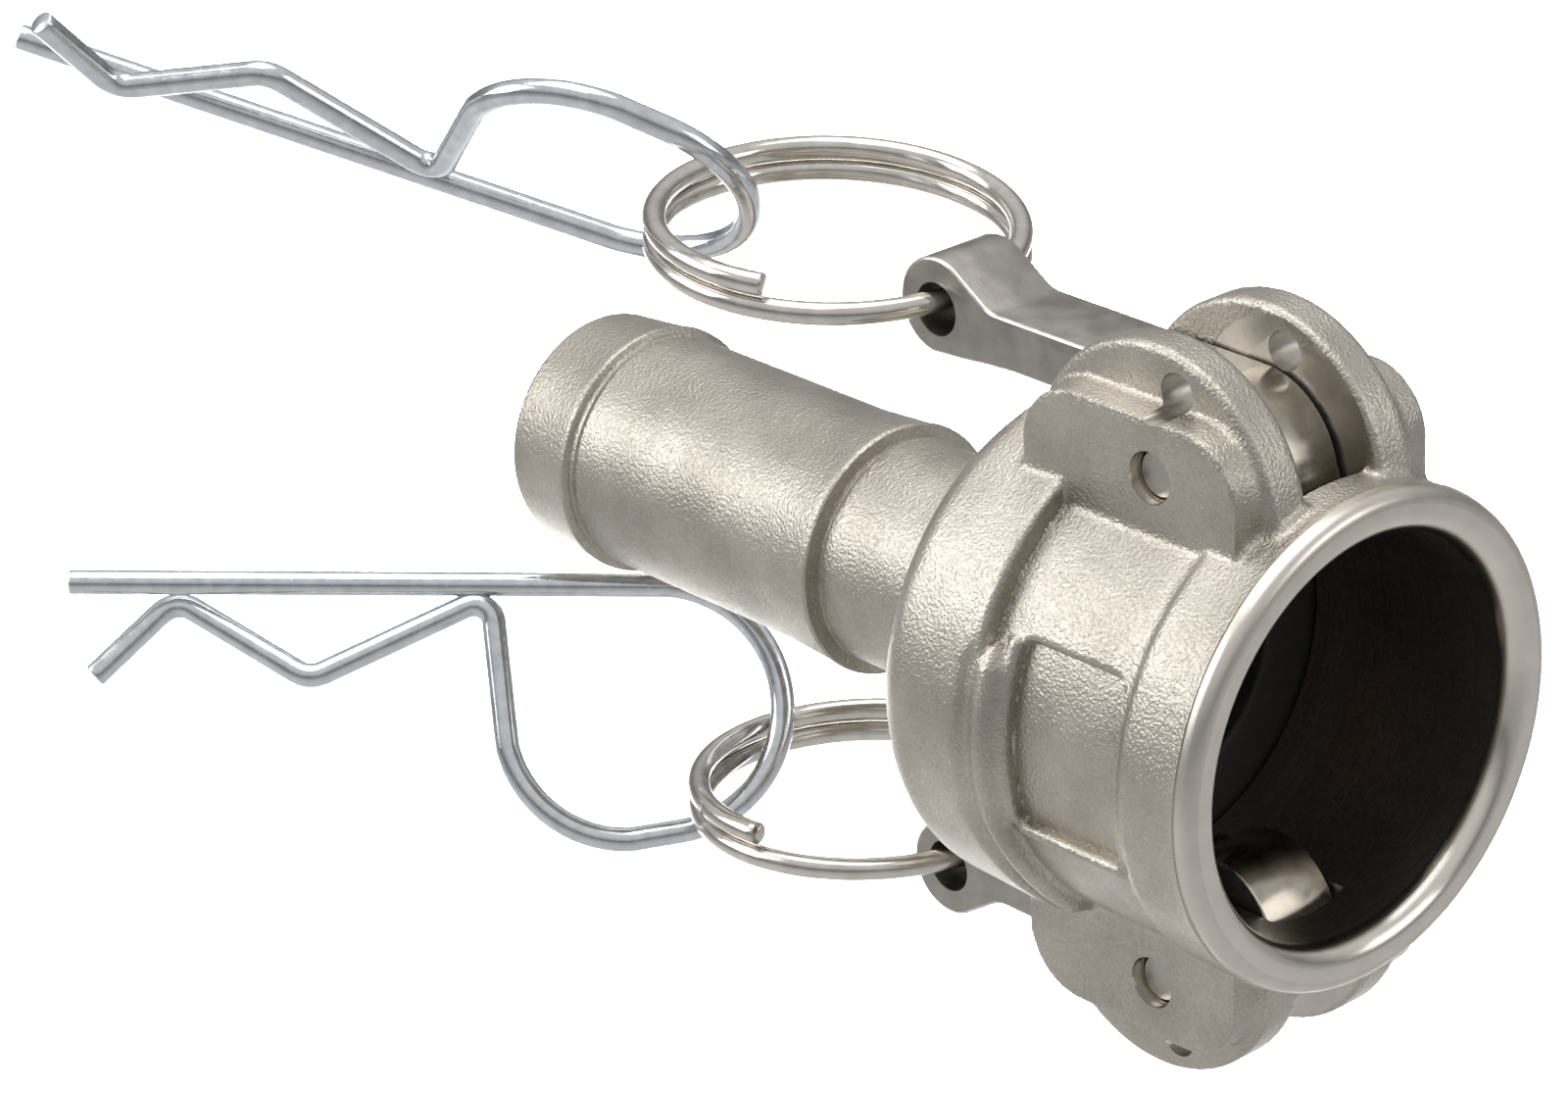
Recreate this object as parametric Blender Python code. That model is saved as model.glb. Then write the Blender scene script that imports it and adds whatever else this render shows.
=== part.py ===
"""Cam-and-groove hose coupler: cast body, two cam arms, pull rings and safety clips.

Lengths are metres. The origin is the middle of the mouth face, on the bore's axis.
+X points out of the mouth, +Z to the upper arm, and Y runs along the pivot pins.
Both arms are closed, which is the rest pose.
"""

import math

import bmesh
import bpy
from mathutils import Matrix, Vector

MM = 0.001
GAP = 0.3 * MM                    # left between pieces that touch
TURN_STEPS = 56                   # facets round the body

# Socket and shank: radii, and stations measured back from the mouth face
BORE_RADIUS = 16.2 * MM
LIP_RADIUS = 17.6 * MM
LIP_DEPTH = 2.0 * MM
LIP_SAG = 0.35 * MM               # how far the lip's middle stands over the bore
RIM_RADIUS = 19.8 * MM
RIM_CORNER = 1.4 * MM
RIM_DEPTH = 6.9 * MM
RIM_SLOPE = 0.3 * MM              # length of the step down to the waist
WAIST_RADIUS = 19.25 * MM
BAND_RADIUS = 20.9 * MM
BAND_FRONT = 21.5 * MM
BAND_BACK = 29.5 * MM
BAND_CORNER = 1.0 * MM
BAND_TAPER = 0.3 * MM
SHOULDER_DROP = 11.6 * MM         # radial half-axis of the shoulder's ellipse
SHOULDER_DEPTH = 5.8 * MM         # its half-axis along the bore
SHOULDER_SWEEP = 58               # degrees of the ellipse that are used
NECK_RADIUS = 9.4 * MM
NECK_START = 38.0 * MM
NECK_FILLET = (0.6 * MM, 1.1 * MM)    # along the bore and radially
FIRST_BARB = 51.3 * MM
SECOND_BARB = 80.9 * MM
SHANK_END = 88.1 * MM
SHANK_RADIUS = 10.05 * MM
BARB_RADIUS = 10.6 * MM
BARB_RISE = 0.7 * MM              # length of a barb's steep side
BARB_TAPER = 6.5 * MM             # and of its long side
SHANK_CHAMFER = 0.4 * MM
SHANK_BORE = 7.9 * MM
SEAT_FRONT = 20.6 * MM
SEAT_BACK = 26.5 * MM
SEAT_RADIUS = 17.65 * MM
GASKET_HOLE = 11.1 * MM
SHANK_CONE = 6.0 * MM             # length of the cone between seat and shank bore

# Blank name panel, sunk in the near side
PANEL_FRONT = 8.6 * MM
PANEL_BACK = 19.3 * MM
PANEL_RADIUS = 18.35 * MM
PANEL_SPREAD = 46                 # degrees round the bore

# Ears and pivots
PIN_X = -12.93 * MM
PIN_Z = 20.93 * MM
PIN_RADIUS = 1.75 * MM
PIN_HALF_LENGTH = 9.3 * MM
PIN_HOLE = PIN_RADIUS + GAP
SLOT_HALF_WIDTH = 3.95 * MM
SLOT_RADIUS = 8.4 * MM            # swept round the pin
PLATE_FACE = 7.5 * MM             # outer face of an ear's plate
PLATE_CENTRE = (-15.4 * MM, 17.5 * MM)
PLATE_RADIUS = 12.4 * MM
PAD_FACE = 10.33 * MM             # outer face of the raised pad
PAD_BACK = -26.3 * MM
PAD_FRONT = -4.2 * MM
PAD_TOP = 25.5 * MM
PAD_CORNER = 5.3 * MM
EAR_ROOT = 11.0 * MM              # how deep the ears reach into the wall
LOCK_X = -12.85 * MM
LOCK_Z = 26.75 * MM
LOCK_RADIUS = 1.62 * MM

# Cam arms
ARM_HALF_WIDTH = 3.6 * MM
CAM_CENTRE = (-12.7 * MM, 18.9 * MM)
CAM_RADIUS = 6.0 * MM
HANDLE_LOW = 21.25 * MM
HANDLE_TOP = 25.45 * MM
BOSS_CENTRE = (-42.4 * MM, 24.45 * MM)
BOSS_RADIUS = 3.95 * MM
EYE_X = -42.4 * MM
EYE_Z = 24.2 * MM
EYE_RADIUS = 2.1 * MM
ARM_BEVEL = 0.4 * MM
ARM_NOSE = [(-7.3 * MM, 21.2 * MM), (-8.6 * MM, 22.6 * MM), (-11.6 * MM, 24.5 * MM),
            (-14.6 * MM, HANDLE_TOP)]
HANDLE_END = -36.0 * MM           # where its top turns up to the boss
BOSS_SWEEP = (62, 262)            # degrees
BOSS_FOOT = (-39.8 * MM, 20.75 * MM)
HANDLE_FOOT = -34.0 * MM

# Split rings: two turns of wire side by side, one of them passing the arm's eye
RING_WIRE = 0.9 * MM
RING_PITCH = 2.0 * MM
RING_RADIUS = 14.6 * MM
RING_START = 18                   # degrees past the eye
RINGS = {
    "upper": {"centre": Vector((-57.1, -0.3, 25.8)) * MM,
              "normal": Vector((0.08, -0.02, 0.997)), "end": 654},
    "lower": {"centre": Vector((-56.6, 1.5, -24.3)) * MM,
              "normal": Vector((-0.025, 0.015, 1.0)), "end": 637},
}

# Safety clips: a hairpin of wire in a plane of its own, u along its straight leg
CLIP_WIRE = 1.05 * MM
CLIP_LEG = 49.9 * MM
CLIP_LOOP = 10.6 * MM             # loop radius
CLIP_RETURN_CENTRE = (47.2 * MM, 11.4 * MM)
CLIP_RETURN = 10.35 * MM          # radius of the loop's last part
CLIP_WAVE = [Vector((37.0, 12.5, 0)) * MM, Vector((35.7, 0.9, 0)) * MM,
             Vector((20.4, 8.2, 0)) * MM, Vector((8.9, 1.1, 2.1)) * MM,
             Vector((2.1, 7.8, 2.1)) * MM]
CLIP_BENDS = [1.7 * MM, 2.3 * MM, 2.3 * MM]
CLIPS = {                         # grip: where the ring passes, in the clip's plane
    "upper": {"tip": Vector((-112.9, -38.7, 39.0)) * MM,
              "leg": Vector((0.686, 0.642, -0.344)),
              "wave": Vector((0.641, -0.308, 0.703)), "grip": (53.9 * MM, 9.2 * MM)},
    "lower": {"tip": Vector((-112.3, -39.3, -9.3)) * MM,
              "leg": Vector((0.640, 0.766, -0.056)),
              "wave": Vector((0.384, -0.382, -0.841)), "grip": (56.6 * MM, 13.9 * MM)},
}


def arc(centre, radius, start, end, steps, squash=1.0):
    """Points on an arc, angles in degrees; squash scales its second half-axis."""
    points = []
    for step in range(steps + 1):
        angle = math.radians(start + (end - start) * step / steps)
        points.append((centre[0] + radius * math.cos(angle),
                       centre[1] + squash * radius * math.sin(angle)))
    return points


def metal(name, colour, roughness, metallic=1.0):
    """A plain material with one colour."""
    material = bpy.data.materials.new(name)
    material.use_nodes = True
    shader = material.node_tree.nodes["Principled BSDF"]
    shader.inputs["Base Color"].default_value = (*colour, 1.0)
    shader.inputs["Roughness"].default_value = roughness
    shader.inputs["Metallic"].default_value = metallic
    return material


def solid(name, shape):
    """Turns a closed bmesh into an object with outward faces."""
    bmesh.ops.recalc_face_normals(shape, faces=shape.faces)
    mesh = bpy.data.meshes.new(name)
    shape.to_mesh(mesh)
    shape.free()
    mesh.shade_smooth()
    mesh.set_sharp_from_angle(angle=math.radians(35))
    piece = bpy.data.objects.new(name, mesh)
    bpy.context.collection.objects.link(piece)
    return piece


def turned(name, profile, closed=False):
    """A solid turned about X from (x, radius) points, which may end on the axis."""
    shape = bmesh.new()
    points = [shape.verts.new((x, 0.0, radius)) for x, radius in profile]
    following = points[1:] + points[:1] if closed else points[1:]
    edges = [shape.edges.new(pair) for pair in zip(points, following)]
    bmesh.ops.spin(shape, geom=points + edges, cent=(0, 0, 0), axis=(1, 0, 0),
                   angle=math.tau, steps=TURN_STEPS, use_merge=True)
    bmesh.ops.remove_doubles(shape, verts=shape.verts, dist=1e-7)
    return solid(name, shape)


def slab(name, outline, low, high):
    """A solid of an (x, z) outline, between two stations on Y."""
    shape = bmesh.new()
    face = shape.faces.new([shape.verts.new((x, low, z)) for x, z in outline])
    grown = bmesh.ops.extrude_face_region(shape, geom=[face])["geom"]
    far = [item for item in grown if isinstance(item, bmesh.types.BMVert)]
    bmesh.ops.translate(shape, vec=(0, high - low, 0), verts=far)
    return solid(name, shape)


def drill(name, x, z, radius, half_length, steps=24):
    """A round bar along Y."""
    return slab(name, arc((x, z), radius, 0, 360 - 360 / steps, steps - 1),
                -half_length, half_length)


def boolean(piece, tool, operation):
    """Joins or cuts a piece with a tool, which is then only a guide."""
    modifier = piece.modifiers.new(tool.name, "BOOLEAN")
    modifier.operation = operation
    modifier.solver = "EXACT"
    modifier.object = tool
    tool.hide_render = True
    tool.display_type = "WIRE"


def paint(piece, material):
    """Gives a piece its material."""
    piece.data.materials.append(material)


def move_origin(piece, pivot):
    """Puts a piece's origin on its joint without moving the piece."""
    piece.data.transform(Matrix.Translation(-pivot))
    piece.location = pivot


def body_outline():
    """The turned outside of the casting, from the mouth to the shank's end."""
    outline = [(0.0, 0.0)]
    outline += arc((-RIM_CORNER, RIM_RADIUS - RIM_CORNER), RIM_CORNER, 0, 90, 3)
    outline += [(-RIM_DEPTH, RIM_RADIUS), (-RIM_DEPTH - RIM_SLOPE, WAIST_RADIUS)]
    outline += [(-BAND_FRONT, WAIST_RADIUS)]
    outline += arc((-BAND_FRONT - BAND_CORNER, BAND_RADIUS - BAND_CORNER), BAND_CORNER,
                   0, 90, 3)
    ridge = BAND_RADIUS - BAND_TAPER
    centre = (-BAND_BACK, ridge - SHOULDER_DROP)
    outline += arc(centre, SHOULDER_DEPTH, 90, 90 + SHOULDER_SWEEP, 5,
                   SHOULDER_DROP / SHOULDER_DEPTH)
    outline += [(-NECK_START + NECK_FILLET[0], NECK_RADIUS + NECK_FILLET[1])]
    outline += [(-NECK_START, NECK_RADIUS)]
    for barb in (FIRST_BARB, SECOND_BARB):
        before = NECK_RADIUS if barb == FIRST_BARB else SHANK_RADIUS
        outline += [(-barb + BARB_RISE, before), (-barb, BARB_RADIUS)]
        outline += [(-barb - BARB_TAPER, SHANK_RADIUS)]
    outline += [(-SHANK_END, SHANK_RADIUS - SHANK_CHAMFER), (-SHANK_END, 0.0)]
    return outline


def core_outline():
    """The socket, the gasket's seat and the shank's bore, which are cut out."""
    outline = [(MM, 0.0), (MM, LIP_RADIUS), (0.0, LIP_RADIUS)]
    outline += [(-LIP_DEPTH / 2, BORE_RADIUS + LIP_SAG), (-LIP_DEPTH, BORE_RADIUS)]
    outline += [(-SEAT_FRONT, BORE_RADIUS), (-SEAT_FRONT, SEAT_RADIUS)]
    outline += [(-SEAT_BACK, SEAT_RADIUS), (-SEAT_BACK, GASKET_HOLE)]
    outline += [(-SEAT_BACK - SHANK_CONE, SHANK_BORE), (-SHANK_END - MM, SHANK_BORE)]
    outline += [(-SHANK_END - MM, 0.0)]
    return outline


def mirrored(outline, side):
    """An (x, z) outline for the upper (1) or the lower (-1) side."""
    return [(x, side * z) for x, z in outline]


def span(near, far, side):
    """Two stations on Y in rising order, on the +Y (1) or -Y (-1) side."""
    return (near, far) if side > 0 else (-far, -near)


def ears():
    """Four slotted ears, each a plate that carries the pin and a raised pad."""
    plate = [(PLATE_CENTRE[0] + PLATE_RADIUS, EAR_ROOT)]
    plate += arc(PLATE_CENTRE, PLATE_RADIUS, 0, 180, 20)
    plate += [(PLATE_CENTRE[0] - PLATE_RADIUS, EAR_ROOT)]
    pad = [(PAD_FRONT, EAR_ROOT)]
    pad += arc((PAD_FRONT - PAD_CORNER, PAD_TOP - PAD_CORNER), PAD_CORNER, 0, 90, 5)
    pad += arc((PAD_BACK + PAD_CORNER, PAD_TOP - PAD_CORNER), PAD_CORNER, 90, 180, 5)
    pad += [(PAD_BACK, EAR_ROOT)]
    pieces = []
    for level in (1, -1):
        for side in (1, -1):
            label = f"{level}_{side}"
            pieces.append(slab(f"plate_{label}", mirrored(plate, level),
                               *span(SLOT_HALF_WIDTH, PLATE_FACE, side)))
            pieces.append(slab(f"pad_{label}", mirrored(pad, level),
                               *span(PLATE_FACE - MM / 2, PAD_FACE, side)))
    return pieces


def panel_cutter():
    """A curved block that sinks the name panel into the near side."""
    shape = bmesh.new()
    corners = [(-PANEL_FRONT, PANEL_RADIUS), (-PANEL_FRONT, RIM_RADIUS + MM),
               (-PANEL_BACK, RIM_RADIUS + MM), (-PANEL_BACK, PANEL_RADIUS)]
    face = shape.faces.new([shape.verts.new((x, -radius, 0)) for x, radius in corners])
    turn = Matrix.Rotation(math.radians(-PANEL_SPREAD / 2), 3, "X")
    bmesh.ops.rotate(shape, cent=(0, 0, 0), matrix=turn, verts=shape.verts)
    bmesh.ops.spin(shape, geom=[face, *face.edges, *face.verts], cent=(0, 0, 0),
                   axis=(1, 0, 0), angle=math.radians(PANEL_SPREAD), steps=8)
    return solid("panel_cutter", shape)


def build_body(steel):
    """The casting with everything that is machined into it."""
    body = turned("body", body_outline())
    for ear in ears():
        boolean(body, ear, "UNION")
    boolean(body, turned("core_cutter", core_outline()), "DIFFERENCE")
    boolean(body, panel_cutter(), "DIFFERENCE")
    for level in (1, -1):
        slot = arc((PIN_X, level * PIN_Z), SLOT_RADIUS, 0, 350, 35)
        boolean(body, slab(f"slot_{level}", slot, -SLOT_HALF_WIDTH, SLOT_HALF_WIDTH),
                "DIFFERENCE")
        boolean(body, drill(f"pin_hole_{level}", PIN_X, level * PIN_Z, PIN_HOLE,
                            PAD_FACE + MM, 16), "DIFFERENCE")
        boolean(body, drill(f"lock_hole_{level}", LOCK_X, level * LOCK_Z, LOCK_RADIUS,
                            PAD_FACE + MM, 16), "DIFFERENCE")
    paint(body, steel)


def build_gasket(rubber):
    """Flat ring in its seat, a gap away from the seat's walls."""
    outer = SEAT_RADIUS - GAP
    front = -SEAT_FRONT - GAP
    back = -SEAT_BACK + GAP
    gasket = turned("gasket", [(front, GASKET_HOLE), (front, outer),
                               (back, outer), (back, GASKET_HOLE)], closed=True)
    paint(gasket, rubber)


def arm_outline():
    """Side view of the closed upper arm: cam, straight handle and the eye's boss."""
    meet = math.degrees(math.asin((HANDLE_LOW - CAM_CENTRE[1]) / CAM_RADIUS))
    outline = arc(CAM_CENTRE, CAM_RADIUS, 180 - meet, 360, 16)
    outline += ARM_NOSE + [(HANDLE_END, HANDLE_TOP)]
    outline += arc(BOSS_CENTRE, BOSS_RADIUS, *BOSS_SWEEP, 12)
    return outline + [BOSS_FOOT, (HANDLE_FOOT, HANDLE_LOW)]


def build_arm(name, level, steel):
    """One cam arm, with its origin on the pivot pin."""
    arm = slab(name, mirrored(arm_outline(), level), -ARM_HALF_WIDTH, ARM_HALF_WIDTH)
    bevel = arm.modifiers.new("edges", "BEVEL")
    bevel.width = ARM_BEVEL
    bevel.segments = 1
    bevel.limit_method = "ANGLE"
    bevel.angle_limit = math.radians(60)
    reach = ARM_HALF_WIDTH + MM
    boolean(arm, drill(f"{name}_bore", PIN_X, level * PIN_Z, PIN_HOLE, reach), "DIFFERENCE")
    boolean(arm, drill(f"{name}_eye", EYE_X, level * EYE_Z, EYE_RADIUS, reach), "DIFFERENCE")
    paint(arm, steel)
    move_origin(arm, Vector((PIN_X, 0, level * PIN_Z)))


def build_pin(name, level, steel):
    """Pivot pin, a little short of the pads' faces."""
    pin = drill(name, PIN_X, level * PIN_Z, PIN_RADIUS, PIN_HALF_LENGTH)
    paint(pin, steel)
    move_origin(pin, Vector((PIN_X, 0, level * PIN_Z)))


def wire(name, points, radius, origin, turn, material):
    """A round wire through local points, placed by its origin and rotation."""
    curve = bpy.data.curves.new(name, "CURVE")
    curve.dimensions = "3D"
    curve.bevel_depth = radius
    curve.bevel_resolution = 2
    curve.use_fill_caps = True
    spline = curve.splines.new("POLY")
    spline.points.add(len(points) - 1)
    for slot, point in zip(spline.points, points):
        slot.co = (*point, 1.0)
    piece = bpy.data.objects.new(name, curve)
    piece.location = origin
    piece.rotation_euler = turn.to_euler()
    bpy.context.collection.objects.link(piece)
    paint(piece, material)


def frame_matrix(along, across):
    """Rotation whose X axis is along, with Y as near to across as it can be."""
    first = along.normalized()
    third = first.cross(across).normalized()
    return Matrix((first, third.cross(first), third)).transposed()


def build_ring(name, level, ring, steel):
    """A split ring, angles counted from the eye round its own normal.

    The wire starts just past the eye, passes through it once round, and climbs by
    one pitch in each turn to end beside its first turn, short of the eye.
    """
    normal = ring["normal"].normalized()
    across = Vector((1, 0, 0)) - normal * normal.x
    turn = frame_matrix(across, normal.cross(across))
    eye = Vector((EYE_X, 0, level * EYE_Z))
    centre = turn.transposed() @ (ring["centre"] - eye)
    sweep = ring["end"] - RING_START
    steps = 64
    points = []
    for step in range(steps + 1):
        share = step / steps
        angle = math.radians(RING_START + sweep * share)
        height = (share - 0.5) * RING_PITCH * sweep / 360
        arm = Vector((RING_RADIUS * math.cos(angle), RING_RADIUS * math.sin(angle), height))
        points.append(centre + arm)
    wire(name, points, RING_WIRE, eye, turn, steel)


def swing(first, last, share):
    """Turns one radius towards another by a share of the angle between them."""
    axis = first.cross(last)
    return Matrix.Rotation(first.angle(last) * share, 3, axis) @ first


def rounded(corners, radii, steps=4):
    """A polyline whose inner corners become arcs of the given radii."""
    path = [corners[0]]
    for before, corner, after, radius in zip(corners, corners[1:], corners[2:], radii):
        back = (before - corner).normalized()
        ahead = (after - corner).normalized()
        half = back.angle(ahead) / 2
        centre = corner + (back + ahead).normalized() * radius / math.sin(half)
        first = corner + back * radius / math.tan(half) - centre
        last = corner + ahead * radius / math.tan(half) - centre
        path += [centre + swing(first, last, step / steps) for step in range(steps + 1)]
    return path + [corners[-1]]


def clip_path():
    """The clip's centre line: straight leg, loop, then the leg that waves."""
    path = [Vector((0, 0, 0))]
    path += [Vector((u, v, 0)) for u, v in
             arc((CLIP_LEG, CLIP_LOOP), CLIP_LOOP, -85, 78, 14)]
    path += [Vector((u, v, 0)) for u, v in
             arc(CLIP_RETURN_CENTRE, CLIP_RETURN, 88, 165, 8)]
    return path + rounded(CLIP_WAVE, CLIP_BENDS)


def build_clip(name, clip, steel):
    """A safety clip with its origin where the ring passes through its loop."""
    turn = frame_matrix(clip["leg"], clip["wave"])
    grip = Vector((*clip["grip"], 0))
    origin = clip["tip"] + turn @ grip
    points = [point - grip for point in clip_path()]
    wire(name, points, CLIP_WIRE, origin, turn, steel)


def main():
    """Builds every piece."""
    for leftover in list(bpy.data.objects):
        bpy.data.objects.remove(leftover, do_unlink=True)
    cast = metal("cast_stainless", (0.62, 0.58, 0.52), 0.42)
    satin = metal("satin_stainless", (0.66, 0.65, 0.63), 0.32)
    bright = metal("bright_wire", (0.74, 0.71, 0.68), 0.15)
    zinc = metal("zinc_wire", (0.72, 0.75, 0.78), 0.18)
    rubber = metal("nitrile", (0.02, 0.02, 0.02), 0.6, metallic=0.0)
    build_body(cast)
    build_gasket(rubber)
    for side, level in (("upper", 1), ("lower", -1)):
        build_arm(f"cam_arm_{side}", level, satin)
        build_pin(f"pivot_pin_{side}", level, satin)
        build_ring(f"split_ring_{side}", level, RINGS[side], bright)
        build_clip(f"safety_clip_{side}", CLIPS[side], zinc)


main()
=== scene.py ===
"""Looks of the cam-and-groove hose coupler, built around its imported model.

The origin is the middle of the mouth face, +X points out of the mouth and +Z to the
upper arm. Shapes are worked out in millimetres and become metres in their meshes.
"""

import math

import bmesh
import bpy
import numpy as np
from mathutils import Matrix, Vector


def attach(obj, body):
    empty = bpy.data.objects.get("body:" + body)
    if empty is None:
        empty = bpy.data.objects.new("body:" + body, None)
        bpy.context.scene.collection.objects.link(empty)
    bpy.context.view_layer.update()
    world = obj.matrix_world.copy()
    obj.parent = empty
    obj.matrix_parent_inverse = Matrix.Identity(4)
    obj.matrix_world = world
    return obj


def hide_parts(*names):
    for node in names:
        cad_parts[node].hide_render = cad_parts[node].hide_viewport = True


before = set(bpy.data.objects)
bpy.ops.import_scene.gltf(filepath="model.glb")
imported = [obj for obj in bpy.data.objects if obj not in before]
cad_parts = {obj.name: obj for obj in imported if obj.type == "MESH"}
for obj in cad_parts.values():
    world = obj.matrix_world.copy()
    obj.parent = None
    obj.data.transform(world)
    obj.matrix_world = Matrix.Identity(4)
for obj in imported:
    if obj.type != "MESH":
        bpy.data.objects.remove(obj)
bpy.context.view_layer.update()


# ---------------------------------------------------------------------------
# Camera, floor and light. A long lens looks down over the mouth; a pale floor, a
# soft overhead panel and a room that is darker at eye level light the metal.

MM = 0.001
scene = bpy.context.scene
scene.view_settings.view_transform = "Standard"

camera_data = bpy.data.cameras.new("camera")
camera_data.lens = 122.9
camera_data.sensor_width = 36
camera_data.clip_start = 0.01
camera = bpy.data.objects.new("camera", camera_data)
camera_place = Vector((237.9, -266.9, 177.05)) * MM
camera_aim = Vector((-66.8, 1.4, -5.1)) * MM
camera_roll = Matrix.Rotation(math.radians(2.03), 4, "Z").inverted()
gaze = (camera_aim - camera_place).to_track_quat("-Z", "Y").to_matrix().to_4x4()
camera.matrix_world = Matrix.Translation(camera_place) @ gaze @ camera_roll
scene.collection.objects.link(camera)
scene.camera = camera


class Signal:
    """A shader socket that arithmetic can be written with."""

    tree = None

    def __init__(self, socket):
        self.socket = socket

    @classmethod
    def node(cls, kind, settings=None, values=None, output=0):
        """Adds a node: settings first, then its sockets, by name or number."""
        made = cls.tree.nodes.new(kind)
        for key, value in (settings or {}).items():
            if key == "stops":
                ramp = made.color_ramp
                while len(ramp.elements) < len(value):
                    ramp.elements.new(0.5)
                for stop, (place, level) in zip(ramp.elements, value):
                    stop.position = place
                    shade = level if isinstance(level, tuple) else (level,) * 3
                    stop.color = (*shade, 1.0)
            else:
                setattr(made, key, value)
        for key, value in (values or {}).items():
            cls.feed(made.inputs[key], value)
        return cls(made.outputs[output])

    @classmethod
    def feed(cls, socket, value):
        """Puts a number, a colour or another signal into a socket."""
        if isinstance(value, Signal):
            cls.tree.links.new(value.socket, socket)
        else:
            socket.default_value = value

    def __add__(self, other):
        return self.node("ShaderNodeMath", {"operation": "ADD"}, {0: self, 1: other})

    def __mul__(self, other):
        return self.node("ShaderNodeMath", {"operation": "MULTIPLY"}, {0: self, 1: other})

    __radd__ = __add__
    __rmul__ = __mul__

    def ramp(self, *stops):
        """Reads a colour ramp at this value."""
        return self.node("ShaderNodeValToRGB", {"stops": stops}, {"Fac": self})

    def span(self, low, high, to_low=0.0, to_high=1.0):
        """Maps one range of values onto another and holds its ends."""
        return self.node("ShaderNodeMapRange", {"clamp": True},
                         {"Value": self, "From Min": low, "From Max": high,
                          "To Min": to_low, "To Max": to_high})

    def blend(self, first, second):
        """Mixes two colours, this signal being the second one's share."""
        return self.node("ShaderNodeMix", {"data_type": "RGBA"},
                         {0: self, 6: first, 7: second}, output=2)


def finish_of(name, metallic=0.0, roughness=0.5):
    """A new material and its shader's sockets, with what is even all over set there."""
    material = bpy.data.materials.new(name)
    material.use_nodes = True
    Signal.tree = material.node_tree
    inputs = material.node_tree.nodes["Principled BSDF"].inputs
    inputs["Metallic"].default_value = metallic
    inputs["Roughness"].default_value = roughness
    return material, inputs


def place_on_object():
    """Object coordinates, in metres."""
    return Signal.node("ShaderNodeTexCoord", output=3)


def noise(place, size, detail=2.0, roughness=0.5):
    """Soft noise whose grains are about size millimetres across."""
    return Signal.node("ShaderNodeTexNoise", None,
                       {"Vector": place, "Scale": 1.0 / (size * MM), "Detail": detail,
                        "Roughness": roughness})


def bump(height, strength, depth):
    """A normal from a height, whose full step is depth millimetres."""
    return Signal.node("ShaderNodeBump", None,
                       {"Height": height, "Strength": strength, "Distance": depth * MM})


floor_material, floor_inputs = finish_of("floor_paint", roughness=0.9)
soft_mottle = noise(place_on_object(), 400.0)
Signal.feed(floor_inputs["Base Color"], soft_mottle.ramp((0.3, 0.56), (0.7, 0.58)))
floor_mesh = bpy.data.meshes.new("floor")
FLOOR_REACH = 30.0
FLOOR_HEIGHT = -0.5
floor_mesh.from_pydata([(x * FLOOR_REACH, y * FLOOR_REACH, FLOOR_HEIGHT)
                        for x, y in ((-1, -1), (1, -1), (1, 1), (-1, 1))], [], [(0, 1, 2, 3)])
floor_mesh.materials.append(floor_material)
floor = bpy.data.objects.new("floor", floor_mesh)
scene.collection.objects.link(floor)


def panel_light(name, place, aim, size, power, spread=180):
    """A square soft light that faces a point, in metres, watts and degrees."""
    data = bpy.data.lights.new(name, "AREA")
    data.size = size
    data.energy = power
    data.spread = math.radians(spread)
    lamp = bpy.data.objects.new(name, data)
    turn = (Vector(aim) - Vector(place)).to_track_quat("-Z", "Y").to_matrix().to_4x4()
    lamp.matrix_world = Matrix.Translation(place) @ turn
    scene.collection.objects.link(lamp)


panel_light("overhead", (-0.3, 0.0, 1.3), (0, 0, 0), 1.2, 9)
panel_light("left_panel", (-1.0, -0.95, 0.62), (0, 0, 0), 0.9, 8)
panel_light("right_rim", (1.0, 0.6, 0.5), (0, 0, 0), 0.6, 2)
panel_light("backdrop", (-0.97, 0.8, 1.6), (-0.97, 0.8, -0.5), 0.7, 44, 38)

world = bpy.data.worlds.new("room")
scene.world = world
world.use_nodes = True
Signal.tree = world.node_tree
direction = Signal.node("ShaderNodeTexCoord", output=0)
height = Signal.node("ShaderNodeSeparateXYZ", None, {0: direction}, output=2)
room = height.ramp((0.0, 0.3), (0.05, 0.22), (0.2, 0.35), (0.5, 0.75), (1.0, 0.9))
room_light = world.node_tree.nodes["Background"]
Signal.feed(room_light.inputs["Color"], room)
room_light.inputs["Strength"].default_value = 0.8


# ---------------------------------------------------------------------------
# Body: one stainless investment casting. The cast blank keeps a fine blasted skin
# and soft fillets; the mouth, bore, slots and holes are then cut into it.

RIM_RADIUS = 19.8
RIM_CORNER = 1.1
RIM_DEPTH = 6.9
WAIST_RADIUS = 19.25
BAND_FRONT = 21.7
BAND_RADIUS = 20.85
BAND_BACK = 29.5
SHOULDER_DROP = 11.6
SHOULDER_DEPTH = 5.8
NECK_START = 38.2
NECK_RADIUS = 9.4
STUB_END = 51.5
BORE_RADIUS = 16.2
LIP_RADIUS = 17.6
LIP_DEPTH = 2.0
SEAT_FRONT = 20.6
SEAT_BACK = 26.5
SEAT_RADIUS = 17.65
GASKET_HOLE = 11.1
SHANK_BORE = 7.9
SHANK_END = 88.1
SHANK_RADIUS = 10.05
PIN_X = -12.93
PIN_Z = 20.93
PIN_HOLE = 2.05
HOLE_STEPS = 64
SLOT_HALF_WIDTH = 3.95
SLOT_RADIUS = 8.4
LOCK_X = -12.85
LOCK_Z = 26.75
LOCK_RADIUS = 1.62
EAR_X = -15.4
EAR_Z = 17.5
EAR_RADIUS = 12.4
EAR_FOOT = 11.0
EAR_Y = 5.7
EAR_HALF = 1.8
PAD_X = -15.25
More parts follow.
